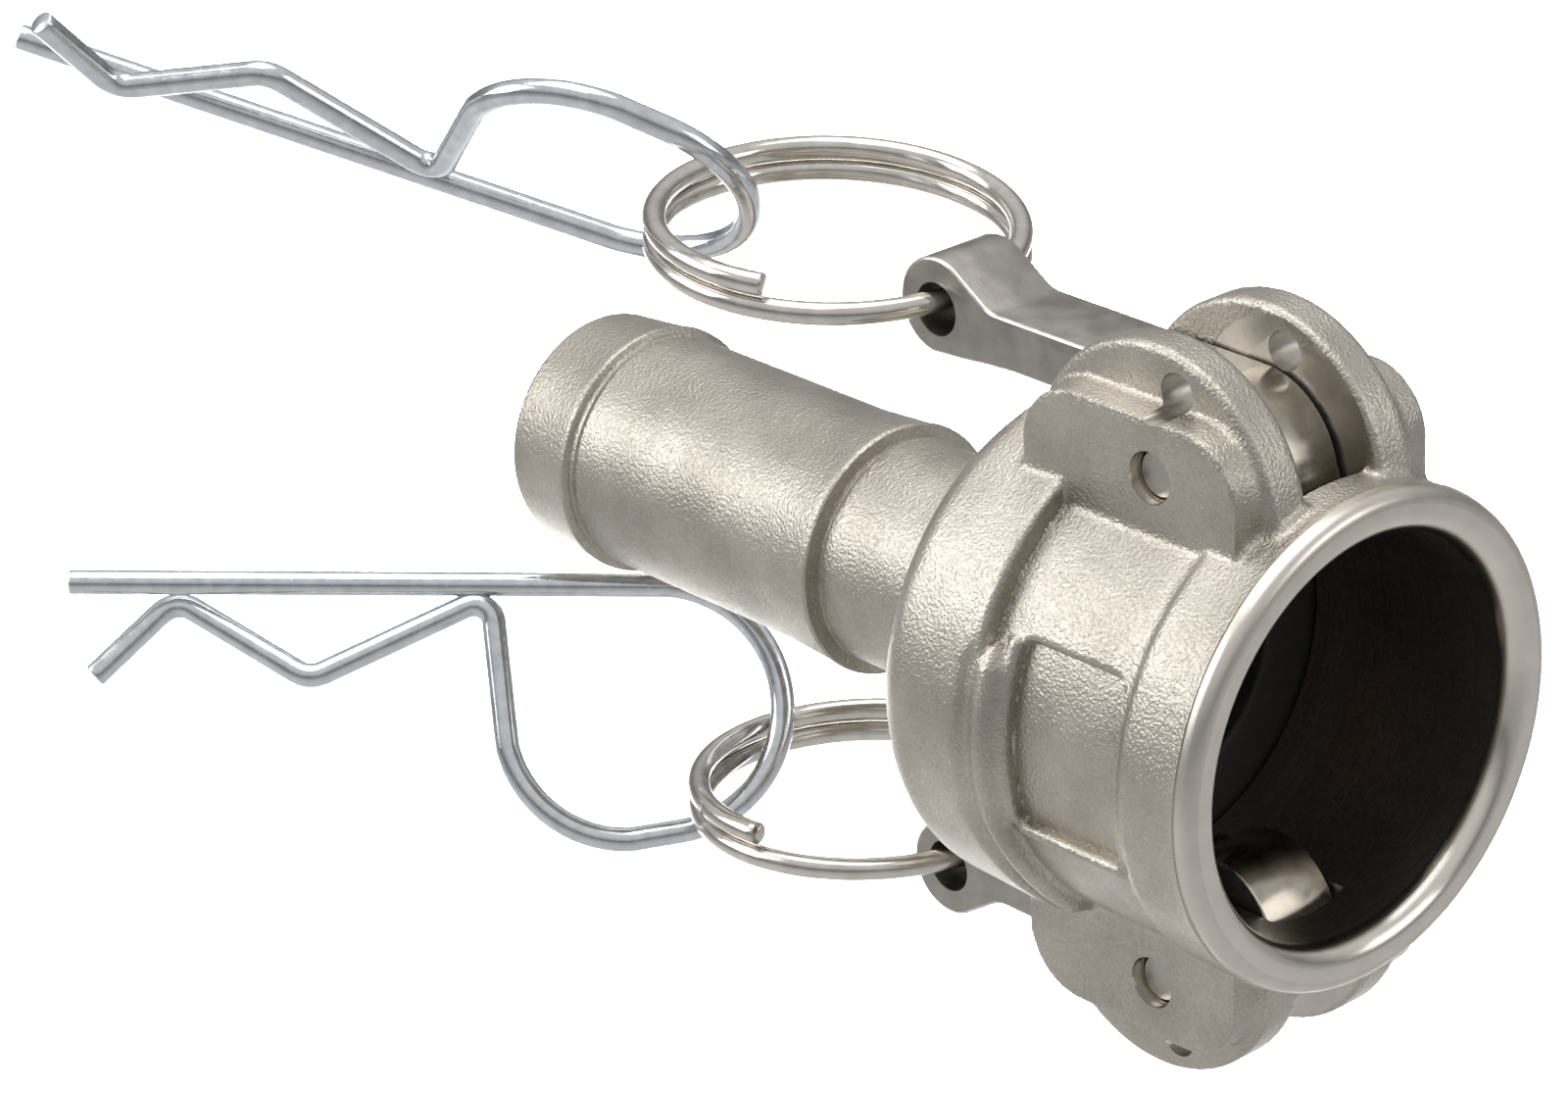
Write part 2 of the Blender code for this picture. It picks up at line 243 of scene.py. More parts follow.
PAD_HALF_LENGTH = 11.05
PAD_TOP = 25.5
PAD_CORNER = 5.3
PAD_DRAFT = 0.08
PAD_Y = 8.5
PAD_HALF = 1.83
PAD_FACE = 10.33
PANEL_X = -13.9
PANEL_TURN = 2.5
PANEL_RADIUS = 19.0
PANEL_HALF_LENGTH = 4.1
PANEL_HALF_WIDTH = 6.6
PANEL_CORNER = 1.3
PANEL_FLOOR = 18.35
RIB_RADIUS = 19.05
GROOVE_TOP = 17
GROOVE_FOOT = -52
GROOVE_FADE = 0.12


def arc(centre, radius, start, end, steps, squash=1.0):
    """Points on an arc, angles in degrees; squash scales its second half-axis."""
    angle = np.radians(np.linspace(start, end, steps + 1))
    return np.stack([centre[0] + radius * np.cos(angle),
                     centre[1] + squash * radius * np.sin(angle)], axis=1)


def chain(*parts):
    """Joins points and arcs into one array of points."""
    return np.vstack([np.atleast_2d(np.asarray(part, float)) for part in parts])


def blank_outline():
    """Half of the blank's lengthwise section, as (x, radius), with casting allowance."""
    return chain(
        (1.2, 0.0), (1.2, RIM_RADIUS + 0.1), (-1.6, RIM_RADIUS + 0.1), (-2.1, RIM_RADIUS),
        (-RIM_DEPTH + 0.1, RIM_RADIUS), (-RIM_DEPTH - 0.25, RIM_RADIUS - 0.12),
        (-RIM_DEPTH - 0.7, WAIST_RADIUS + 0.1), (-RIM_DEPTH - 1.1, WAIST_RADIUS),
        (-BAND_FRONT, WAIST_RADIUS),
        arc((-BAND_FRONT - 0.55, BAND_RADIUS - 0.55), 0.55, 0, 90, 5),
        arc((-BAND_BACK, BAND_RADIUS - 0.25 - SHOULDER_DROP), SHOULDER_DEPTH, 90, 148, 12,
            SHOULDER_DROP / SHOULDER_DEPTH),
        arc((-NECK_START - 0.9, NECK_RADIUS + 1.6), 1.6, -32, -90, 5),
        (-STUB_END + 1.0, NECK_RADIUS), (-STUB_END, NECK_RADIUS - 1.0), (-STUB_END, 0.0))


def signed_distance(points, x, radius):
    """Distance from a grid of (x, radius) to a closed outline, negative inside.

    The nearest point of every side is found by projection; a point is inside where
    a ray along +x crosses an odd number of sides.
    """
    nearest = np.full(x.shape, 1e9)
    inside = np.zeros(x.shape, bool)
    for (x0, r0), (x1, r1) in zip(points, np.roll(points, -1, axis=0)):
        run, rise = x1 - x0, r1 - r0
        length = run * run + rise * rise
        if length == 0:
            continue
        share = np.clip(((x - x0) * run + (radius - r0) * rise) / length, 0, 1)
        nearest = np.minimum(nearest, np.hypot(x - x0 - share * run,
                                               radius - r0 - share * rise))
        spans = (r0 > radius) != (r1 > radius)
        crossing = x0 + (radius - r0) / (rise if rise else 1.0) * run
        inside ^= spans & (x < crossing)
    return np.where(inside, -nearest, nearest)


def soft_union(first, second, fillet):
    """The smaller distance, rounded where both are alike, which leaves a fillet."""
    near = np.maximum(fillet - np.abs(first - second), 0) / fillet
    return np.minimum(first, second) - near * near * fillet / 4


def soft_cut(solid, tool, fillet):
    """The solid without the tool, with its inner corner rounded."""
    return -soft_union(-solid, tool, fillet)


def slab_distance(outline_distance, across, half, edge):
    """A flat plate from its outline's distance, with edges rounded by edge."""
    side = outline_distance + edge
    face = np.abs(across) - half + edge
    outer = np.hypot(np.maximum(side, 0), np.maximum(face, 0))
    return outer + np.minimum(np.maximum(side, face), 0) - edge


# The turned part's distances, as a table over x and radius.
FIELD_STEP = 0.1
FIELD_BACK = -54.0
turned_field = signed_distance(
    blank_outline(), *np.meshgrid(np.arange(FIELD_BACK, 5.0, FIELD_STEP),
                                  np.arange(0.0, 42.0, FIELD_STEP), indexing="ij"))


def blank_field(x, y, z):
    """Distance to the cast blank: the turned shape, four ears and the blank panel.

    The turned part is read from its (x, radius) table between the four nearest
    entries. Each ear is a plate with a raised pad; the panel is sunk beside a rib
    and a foot, and a groove with a bead in front of it fades at both its ends.
    """
    radius = np.hypot(y, z)
    row = (x - FIELD_BACK) / FIELD_STEP
    column = radius / FIELD_STEP
    top, left = row.astype(int), column.astype(int)
    down, right = row - top, column - left
    turned = ((turned_field[top, left] * (1 - right) + turned_field[top, left + 1] * right)
              * (1 - down)
              + (turned_field[top + 1, left] * (1 - right)
                 + turned_field[top + 1, left + 1] * right) * down)
    turned = turned + 0.02 * np.sin(0.9 * x + 0.7 * y) * np.sin(0.8 * z - 0.5 * y)

    up = np.abs(z)
    aside = np.abs(y)
    plate = np.hypot(x - EAR_X, np.maximum(up - EAR_Z, 0)) - EAR_RADIUS
    plate = np.maximum(plate, EAR_FOOT - up)
    plate = slab_distance(plate, aside - EAR_Y, EAR_HALF, 0.55)
    pad_side = np.abs(x - PAD_X) - (PAD_HALF_LENGTH - PAD_CORNER)
    pad_top = up - (PAD_TOP - PAD_CORNER)
    pad = (np.hypot(np.maximum(pad_side, 0), np.maximum(pad_top, 0))
           + np.minimum(np.maximum(pad_side, pad_top), 0) - PAD_CORNER)
    pad = np.maximum(pad + PAD_DRAFT * (aside - 8.9), EAR_FOOT - up)
    pad = slab_distance(pad, aside - PAD_Y, PAD_HALF, 0.25)
    cast = soft_union(soft_union(turned, plate, 0.9), pad, 0.5)

    angle = np.degrees(np.arctan2(z, -y))
    around = np.radians(angle - PANEL_TURN) * PANEL_RADIUS
    across = x - PANEL_X
    panel = np.hypot(np.maximum(np.abs(across) - PANEL_HALF_LENGTH, 0),
                     np.maximum(np.abs(around) - PANEL_HALF_WIDTH, 0)) - PANEL_CORNER
    cast = soft_cut(cast, np.maximum(panel, PANEL_FLOOR - radius), 0.25)
    rib = (np.hypot(x + 19.75, radius - RIB_RADIUS) - 0.6
           + np.maximum(np.abs(around) - 7.4, 0))
    foot = (np.hypot(around + 8.1, radius - RIB_RADIUS) - 0.55
            + np.maximum(np.abs(across) - 5.4, 0))
    cast = soft_union(cast, np.minimum(rib, foot), 0.3)

    past = np.maximum(np.maximum(angle - GROOVE_TOP, GROOVE_FOOT - angle), 0) * GROOVE_FADE
    drift = np.clip((-20 - angle) / 30, 0, 1) * 1.6
    groove = np.hypot(x + 22.2 - drift, radius - 21.15) - 0.75 + past
    cast = soft_cut(cast, groove, 0.8)
    bead = np.hypot(x + 21.0 - drift, radius - 19.75) - 0.95 + past
    return soft_union(cast, bead, 0.7)


def net_surface(field, low, step):
    """Closed quads on a distance grid's zero level, by surface nets.

    Each cell that the surface passes gets one point, the mean of the crossings on
    its 12 edges, and each grid edge that is crossed joins the 4 cells round it.
    """
    inside = field < 0
    cells = tuple(size - 1 for size in field.shape)
    total = np.zeros((*cells, 3), np.float32)
    count = np.zeros(cells, np.float32)
    for axis in range(3):
        others = [item for item in range(3) if item != axis]
        before = [slice(None)] * 3
        after = [slice(None)] * 3
        before[axis] = slice(0, -1)
        after[axis] = slice(1, None)
        first, second = field[tuple(before)], field[tuple(after)]
        crossed = inside[tuple(before)] != inside[tuple(after)]
        share = np.where(crossed, first / np.where(crossed, first - second, 1), 0)
        for shift_a in (0, 1):
            for shift_b in (0, 1):
                window = [slice(None)] * 3
                window[others[0]] = slice(shift_a, shift_a + cells[others[0]])
                window[others[1]] = slice(shift_b, shift_b + cells[others[1]])
                window = tuple(window)
                hit = crossed[window]
                count += hit
                total[..., axis] += share[window] * hit
                total[..., others[0]] += shift_a * hit
                total[..., others[1]] += shift_b * hit
    active = count > 0
    index = np.full(cells, -1, np.int64)
    index[active] = np.arange(active.sum())
    corner = np.argwhere(active)
    points = low + (corner + total[active] / count[active][:, None]) * step
    quads = []
    for axis in range(3):
        others = [item for item in range(3) if item != axis]
        low_cut = [slice(1, -1)] * 3
        low_cut[axis] = slice(0, -1)
        high_cut = [slice(1, -1)] * 3
        high_cut[axis] = slice(1, None)
        near, far = inside[tuple(low_cut)], inside[tuple(high_cut)]
        at = np.argwhere(near != far)
        leaves = near[tuple(at.T)]
        at[:, others] += 1
        around = []
        for shift_a, shift_b in ((1, 1), (0, 1), (0, 0), (1, 0)):
            cell = at.copy()
            cell[:, others[0]] -= shift_a
            cell[:, others[1]] -= shift_b
            around.append(index[tuple(cell.T)])
        ring = np.stack(around, axis=1)
        outward = leaves if axis != 1 else ~leaves
        quads.append(np.where(outward[:, None], ring, ring[:, ::-1]))
    return points, np.vstack(quads)


def pull_onto(field, points, rounds=3, nudge=0.02):
    """Moves points onto a field's zero level: each goes down the slope, measured
    nudge millimetres to either side, by its distance.
    """
    for _ in range(rounds):
        slope = np.stack([field(*(points + shift).T) - field(*(points - shift).T)
                          for shift in np.eye(3) * nudge], axis=1) / (2 * nudge)
        steep = np.maximum((slope * slope).sum(axis=1), 0.25)
        away = np.clip(field(*points.T), -0.2, 0.2)
        points = points - slope * (away / steep)[:, None]
    return points


def new_piece(name, points, faces, *materials):
    """An object from points in millimetres and faces, one array or several."""
    groups = faces if isinstance(faces, list) else [faces]
    mesh = bpy.data.meshes.new(name)
    corners = np.concatenate([np.asarray(group, np.int32).ravel() for group in groups])
    counts = np.concatenate([np.full(len(group), len(group[0])) for group in groups])
    mesh.vertices.add(len(points))
    mesh.vertices.foreach_set("co", np.asarray(points * MM, np.float32).ravel())
    mesh.loops.add(len(corners))
    mesh.loops.foreach_set("vertex_index", corners)
    mesh.polygons.add(len(counts))
    starts = np.concatenate([[0], np.cumsum(counts)[:-1]])
    mesh.polygons.foreach_set("loop_start", starts.astype(np.int32))
    mesh.update(calc_edges=True)
    mesh.validate()
    mesh.shade_smooth()
    for material in materials:
        mesh.materials.append(material)
    piece = bpy.data.objects.new(name, mesh)
    scene.collection.objects.link(piece)
    return piece


def turned_grid(outline, steps, axis="X"):
    """Points and quads of an outline, (along, radius), turned round an axis.

    Point (i, j) lies at outline point i, turned by j whole steps of the circle. An
    outline that starts on the axis ends there; any other one closes on itself.
    """
    angle = np.arange(steps) * math.tau / steps
    along = np.repeat(outline[:, 0][:, None], steps, axis=1)
    flat = outline[:, 1][:, None] * np.cos(angle)
    tall = outline[:, 1][:, None] * np.sin(angle)
    order = (along, flat, tall) if axis == "X" else (tall, along, flat)
    points = np.stack(order, axis=2).reshape(-1, 3)
    rows = len(outline)
    bands = rows - 1 if outline[0, 1] == 0 else rows
    row, column = np.meshgrid(np.arange(bands), np.arange(steps), indexing="ij")
    here = row * steps + column
    beside = row * steps + (column + 1) % steps
    below = (row + 1) % rows * steps
    faces = np.stack([here, beside, below + (column + 1) % steps, below + column], axis=2)
    return points, faces.reshape(-1, 4)


def settle(piece):
    """Turns what a piece's modifiers make of it into its own mesh."""
    held = bpy.context.evaluated_depsgraph_get()
    mesh = bpy.data.meshes.new_from_object(piece.evaluated_get(held))
    piece.modifiers.clear()
    old, piece.data = piece.data, mesh
    bpy.data.meshes.remove(old)
    return piece


def outward(piece):
    """Merges doubled points, closes slits and turns a mesh's faces to point out."""
    shape = bmesh.new()
    shape.from_mesh(piece.data)
    bmesh.ops.remove_doubles(shape, verts=shape.verts, dist=1e-7)
    slits = [edge for edge in shape.edges if edge.is_boundary]
    bmesh.ops.holes_fill(shape, edges=slits, sides=0)
    bmesh.ops.recalc_face_normals(shape, faces=shape.faces)
    shape.to_mesh(piece.data)
    shape.free()
    return piece


def plate_piece(name, outline, half, *materials):
    """A flat plate across Y: the (x, z) outline half a thickness to either side, with
    a quad between each pair of like edges and a cap on each side.
    """
    count = len(outline)
    points = np.vstack([np.column_stack([outline[:, 0], np.full(count, side), outline[:, 1]])
                        for side in (-half, half)])
    here = np.arange(count)
    after = (here + 1) % count
    sides = np.stack([here, after, after + count, here + count], axis=1)
    caps = np.stack([here, here + count])
    return outward(new_piece(name, points, [sides, caps], *materials))


def drill(name, x, z, radius, half_length, material, bevel=0.0):
    """A round cutter along Y that flares by bevel at a plate's faces, for a chamfer."""
    rows = chain((-half_length - 1.0, 0), (-half_length - 1.0, radius + bevel),
                 (-half_length + bevel * 0.5, radius), (half_length - bevel * 0.5, radius),
                 (half_length + 1.0, radius + bevel), (half_length + 1.0, 0))
    points, faces = turned_grid(rows, HOLE_STEPS, "Y")
    return outward(new_piece(name, points + np.array([x, 0, z]), faces, material))


def cut_with(piece, tools, operation="DIFFERENCE"):
    """Cuts or joins a piece with tools, whose finish the new faces take."""
    for tool in tools:
        modifier = piece.modifiers.new(tool.name, "BOOLEAN")
        modifier.operation = operation
        modifier.solver = "EXACT"
        modifier.material_mode = "TRANSFER"
        modifier.object = tool
    settle(piece)
    for tool in tools:
        bpy.data.objects.remove(tool)
    return piece


def cast_finish(name, tint, dark, grain):
    """Blasted casting: warm grey metal with a pebbled skin and small bright grains."""
    material, inputs = finish_of(name, metallic=1.0)
    place = place_on_object()
    fine = noise(place, grain, 3.0, 0.6)
    broad = noise(place, 6.0, 3.0)
    Signal.feed(inputs["Base Color"],
                (fine * 0.35 + broad * 0.65).span(0.34, 0.66).blend((*dark, 1), (*tint, 1)))
    Signal.feed(inputs["Roughness"], fine.span(0.3, 0.7, 0.48, 0.34))
    pebble = noise(place, grain * 0.9, 1.5) + 0.2 * noise(place, grain * 2.4, 1.5)
    Signal.feed(inputs["Normal"], bump(pebble, 0.85, 0.11))
    return material


def turned_finish(name, tint, roughness, pitch):
    """Lathe-turned steel, with fine rings round the bore every pitch millimetres."""
    material, inputs = finish_of(name, metallic=1.0)
    place = place_on_object()
    parts = [Signal.node("ShaderNodeSeparateXYZ", None, {0: place}, output=item)
             for item in range(3)]
    radius = Signal.node("ShaderNodeMath", {"operation": "SQRT"},
                         {0: parts[1] * parts[1] + parts[2] * parts[2]})
    travel = (parts[0] + radius) * (1.0 / (pitch * MM))
    rings = Signal.node("ShaderNodeTexNoise", {"noise_dimensions": "1D"},
                        {"W": travel, "Scale": 1.0, "Detail": 3.0})
    cloud = noise(place, 3.0)
    Signal.feed(inputs["Base Color"],
                cloud.span(0.3, 0.7).blend((*[part * 0.9 for part in tint], 1), (*tint, 1)))
    Signal.feed(inputs["Roughness"], rings.span(0.3, 0.7, roughness, roughness + 0.1))
    Signal.feed(inputs["Normal"], bump(rings, 0.35, 0.02))
    return material


cast_skin = cast_finish("cast_skin", (0.60, 0.56, 0.50), (0.43, 0.40, 0.35), 0.3)
turned_skin = turned_finish("turned_skin", (0.80, 0.75, 0.68), 0.12, 0.07)
faced_skin = turned_finish("faced_skin", (0.72, 0.675, 0.61), 0.27, 0.2)
bore_skin = turned_finish("bore_skin", (0.46, 0.41, 0.37), 0.26, 0.12)
milled_skin = turned_finish("milled_skin", (0.60, 0.565, 0.51), 0.3, 0.3)


def shank_outline():
    """The hose shank with its two barbs, as (x, radius), from inside the stub."""
    barbs = []
    for ridge, before, top in ((51.3, NECK_RADIUS - 0.06, 10.55), (80.9, SHANK_RADIUS, 10.7)):
        barbs += [(-ridge + 1.1, before), (-ridge + 1.0, before + 0.2),
                  (-ridge + 0.5, before + 0.2), (-ridge + 0.34, top - 0.1),
                  (-ridge + 0.22, top), (-ridge - 0.1, top + 0.02),
                  (-ridge - 0.6, top - 0.1), (-ridge - 6.4, SHANK_RADIUS + 0.02),
                  (-ridge - 7.4, SHANK_RADIUS)]
    barbs.pop()
    return chain((-STUB_END + 1.9, 0), (-STUB_END + 1.9, NECK_RADIUS - 0.5), barbs,
                 arc((-SHANK_END + 0.5, SHANK_RADIUS - 0.5), 0.5, 90, 180, 5),
                 (-SHANK_END, 0))


GRID_STEP = 0.36
SHANK_STEPS = 160
CORE_STEPS = 240


def build_body():
    """Casts the head on a distance grid, adds the shank, then machines both. The
    shank is left a little out of round, in three lobes that creep along it.
    """
    low = np.array([-STUB_END - 1.0, -22.0, -31.0])
    size = np.array([STUB_END + 3.2, 44.0, 62.0])
    axes = [low[item] + GRID_STEP * np.arange(int(size[item] / GRID_STEP) + 1)
            for item in range(3)]
    grid = np.meshgrid(*axes, indexing="ij")
    points, quads = net_surface(blank_field(*grid), low, GRID_STEP)
    points = pull_onto(blank_field, points)
    body = new_piece("coupler_body", points, quads, cast_skin)

    rows, faces = turned_grid(shank_outline(), SHANK_STEPS)
    wave = 1 + 0.0018 * np.sin(3 * np.arctan2(rows[:, 2], rows[:, 1]) + rows[:, 0] / 9)
    rows[:, 1:] *= wave[:, None]
    shank = outward(new_piece("shank", rows, faces, cast_skin))
    cut_with(body, [shank], "UNION")

    facing = chain(
        (6.0, 0), (6.0, 26.0), (-RIM_CORNER - 0.4, 26.0),
        (-RIM_CORNER - 0.4, RIM_RADIUS), (-RIM_CORNER, RIM_RADIUS - 0.03),
        arc((-RIM_CORNER, RIM_RADIUS - 0.03 - RIM_CORNER), RIM_CORNER, 80, 0, 8))
    lip = arc((-LIP_DEPTH, LIP_RADIUS + 0.1), LIP_DEPTH, 0, -90, 12,
              (LIP_RADIUS + 0.1 - BORE_RADIUS) / LIP_DEPTH)
    bore = chain(
        (-SEAT_FRONT, BORE_RADIUS), (-SEAT_FRONT, SEAT_RADIUS),
        (-SEAT_BACK, SEAT_RADIUS), (-SEAT_BACK, GASKET_HOLE),
        (-SEAT_BACK - 6, SHANK_BORE), (-SHANK_END + 0.4, SHANK_BORE),
        (-SHANK_END - 0.3, SHANK_BORE + 0.7), (-SHANK_END - 0.3, 0))
    rows, faces = turned_grid(chain(facing, lip, bore), CORE_STEPS)
    core = new_piece("core", rows, faces, faced_skin, turned_skin, bore_skin)
    band = np.searchsorted([len(facing), len(facing) + len(lip)],
                           np.arange(len(faces)) // CORE_STEPS + 1, side="right")
    core.data.polygons.foreach_set("material_index", band.astype(np.int32))
    tools = [outward(core)]
    for level in (1, -1):
        disc = arc((PIN_X, level * PIN_Z), SLOT_RADIUS, 0, 357, 119)
        tools += [plate_piece(f"slot_{level}", disc, SLOT_HALF_WIDTH, milled_skin),
                  drill("pin_hole", PIN_X, level * PIN_Z, PIN_HOLE, PAD_FACE,
                        turned_skin, 0.25),
                  drill("lock_hole", LOCK_X, level * LOCK_Z, LOCK_RADIUS, PAD_FACE,
                        milled_skin)]
    outward(cut_with(body, tools))
    body.data.set_sharp_from_angle(angle=math.radians(38))
    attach(body, "coupler_body")
    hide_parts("body")


build_body()


# ---------------------------------------------------------------------------
# Gasket: a flat ring of black nitrile that lies in the seat behind the bore, with
# moulded round edges.

rubber, rubber_inputs = finish_of("nitrile", metallic=0.0)
rubber_dust = noise(place_on_object(), 0.5, 4.0)
Signal.feed(rubber_inputs["Base Color"], rubber_dust.ramp((0.3, 0.012), (0.75, 0.03)))
Signal.feed(rubber_inputs["Roughness"], rubber_dust.span(0.3, 0.7, 0.5, 0.7))
Signal.feed(rubber_inputs["Normal"], bump(rubber_dust, 0.3, 0.03))

SEAT_GAP = 0.3
GASKET_EDGE = 0.5
gasket_front = -SEAT_FRONT - SEAT_GAP - GASKET_EDGE
gasket_back = -SEAT_BACK + SEAT_GAP + GASKET_EDGE
gasket_inner = GASKET_HOLE + GASKET_EDGE
gasket_outer = SEAT_RADIUS - 0.8
gasket_rows = chain(
    arc((gasket_front, gasket_inner), GASKET_EDGE, -90, 0, 4),
    arc((gasket_front, gasket_outer), GASKET_EDGE, 0, 90, 4),
    arc((gasket_back, gasket_outer), GASKET_EDGE, 90, 180, 4),
    arc((gasket_back, gasket_inner), GASKET_EDGE, 180, 270, 4))
gasket = outward(new_piece("nitrile_gasket", *turned_grid(gasket_rows, 160), rubber))
gasket.data.set_sharp_from_angle(angle=math.radians(38))
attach(gasket, "coupler_body")
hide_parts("gasket")


# ---------------------------------------------------------------------------
# Cam arms: cast stainless levers, linished smooth, with a ground cam, bright
# broken edges, a bore for the pivot pin and an eye for the pull ring. The cam's
# colour is darkened as painted shade, for the shadow it lies in inside the bore.

ARM_HALF_WIDTH = 3.6
CAM_CENTRE = (-12.7, 18.9)
CAM_RADIUS = 6.0
NOSE_CENTRE = (-14.4, 17.95)
HANDLE_LOW = 21.25
HANDLE_TOP = 25.45
BOSS_CENTRE = (-42.4, 24.45)
BOSS_RADIUS = 3.95
EYE = (-42.4, 24.2)
EYE_RADIUS = 2.1
BROKEN_EDGE = 0.34

arm_skin, arm_inputs = finish_of("linished_arm", metallic=1.0)
arm_place = place_on_object()
arm_grain = noise(Signal.node("ShaderNodeMapping", None,
                              {"Vector": arm_place, "Scale": (0.12, 1.0, 1.0)}), 0.25, 3.0)
arm_cloud = noise(arm_place, 2.5, 3.0)
Signal.feed(arm_inputs["Base Color"],
            arm_cloud.span(0.3, 0.7).blend((0.33, 0.31, 0.28, 1), (0.44, 0.415, 0.38, 1)))
Signal.feed(arm_inputs["Roughness"], arm_cloud.span(0.3, 0.7, 0.3, 0.42))
Signal.feed(arm_inputs["Normal"], bump(arm_grain + arm_cloud * 0.6, 0.35, 0.05))


def bright_finish(name, grain, dark, light, gloss, strength, depth):
    """Bright metal whose colour, roughness and surface drift with one soft cloud."""
    material, inputs = finish_of(name, metallic=1.0)
    cloud = noise(place_on_object(), grain, 3.0)
    Signal.feed(inputs["Base Color"], cloud.span(0.3, 0.7).blend((*dark, 1), (*light, 1)))
    Signal.feed(inputs["Roughness"], cloud.span(0.3, 0.7, *gloss))
    Signal.feed(inputs["Normal"], bump(cloud, strength, depth))
    return material


edge_skin = bright_finish("bright_edge", 0.8, (0.62, 0.60, 0.57), (0.76, 0.74, 0.71),
                          (0.18, 0.32), 0.1, 0.03)
# The ground cam's colour is painted shade: kept dark to stand for the shadow and the dark
# reflection of the bore it lies in.
cam_shaded_skin = bright_finish("ground_cam_painted_shade", 1.5, (0.38, 0.34, 0.285), (0.50, 0.455, 0.39),
                         (0.16, 0.26), 0.2, 0.05)


def arm_outline():
    """Side view of the closed upper arm: cam, straight handle and the eye's boss."""
    meet = math.degrees(math.asin((HANDLE_LOW - CAM_CENTRE[1]) / CAM_RADIUS))
    return chain(
        arc(CAM_CENTRE, CAM_RADIUS, 180 - meet, 358, 60),
        arc(NOSE_CENTRE, HANDLE_TOP - NOSE_CENTRE[1], 11, 90, 20),
        arc((-35.8, HANDLE_TOP + 3.0), 3.0, 270, 242, 5),
        arc(BOSS_CENTRE, BOSS_RADIUS, 62, 262, 34),
        (-39.8, HANDLE_LOW - 0.5), (-37.0, HANDLE_LOW - 0.2), (-34.0, HANDLE_LOW))


def build_arm(name, node, body, level):
    """Gives the outline its thickness, breaks its edges and drills both holes. The
    cam's sides take the ground finish, darkened as painted shade, and the broken
    edges the bright one.
    """
    outline = arm_outline() * (1, level)
    arm = plate_piece(name, outline, ARM_HALF_WIDTH, arm_skin, edge_skin, cam_shaded_skin)
    middle = (outline[:, 0] + np.roll(outline[:, 0], -1)) / 2
    on_cam = middle > NOSE_CENTRE[0] - CAM_RADIUS
    ground = np.concatenate([np.where(on_cam, 2, 0), [0, 0]]).astype(np.int32)
    arm.data.polygons.foreach_set("material_index", ground)
    bevel = arm.modifiers.new("broken_edge", "BEVEL")
    bevel.width = BROKEN_EDGE * MM
    bevel.segments = 3
    bevel.limit_method = "ANGLE"
    bevel.angle_limit = math.radians(60)
    bevel.material = 1
    settle(arm)
    bore = drill("bore", PIN_X, level * PIN_Z, PIN_HOLE, ARM_HALF_WIDTH, arm_skin, 0.2)
    eye = drill("eye", EYE[0], level * EYE[1], EYE_RADIUS, ARM_HALF_WIDTH, arm_skin, 0.45)
    cut_with(arm, [bore, eye])
    arm.data.set_sharp_from_angle(angle=math.radians(30))
    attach(arm, body)
    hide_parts(node)


build_arm("upper_lever", "cam_arm_upper", "arm_upper", 1)
build_arm("lower_lever", "cam_arm_lower", "arm_lower", -1)


# ---------------------------------------------------------------------------
# Pivot pins: ground stainless, pressed through the ears, their cut ends a little
# below the pads' faces.

PIN_HALF_LENGTH = 9.3
PIN_RADIUS = 1.96
PIN_END_RADIUS = 1.75
PIN_CHAMFER_START = 9.05

pin_skin = turned_finish("pin_skin", (0.50, 0.47, 0.43), 0.3, 0.1)
pin_rows = chain((-PIN_HALF_LENGTH, 0), (-PIN_HALF_LENGTH, PIN_END_RADIUS),
                 (-PIN_CHAMFER_START, PIN_RADIUS), (PIN_CHAMFER_START, PIN_RADIUS),
                 (PIN_HALF_LENGTH, PIN_END_RADIUS), (PIN_HALF_LENGTH, 0))
pin_points, pin_faces = turned_grid(pin_rows, HOLE_STEPS, "Y")
for side, level in (("upper", 1), ("lower", -1)):
    pin = outward(new_piece(f"{side}_pin", pin_points + (PIN_X, 0, level * PIN_Z),
                            pin_faces, pin_skin))
    pin.data.set_sharp_from_angle(angle=math.radians(25))
    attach(pin, "coupler_body")
    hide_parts(f"pivot_pin_{side}")


# ---------------------------------------------------------------------------
# Split rings: two turns of bright drawn stainless wire, wound side by side, with
# square cut ends. One turn passes the arm's eye.

RING_RADIUS = 14.6
RING_WIRE = 0.93
RING_PITCH = 2.0
RING_START = 18
COIL_POINTS = 360

ring_skin = bright_finish("bright_ring", 1.6, (0.66, 0.62, 0.57), (0.78, 0.745, 0.70),
                          (0.10, 0.2), 0.12, 0.04)


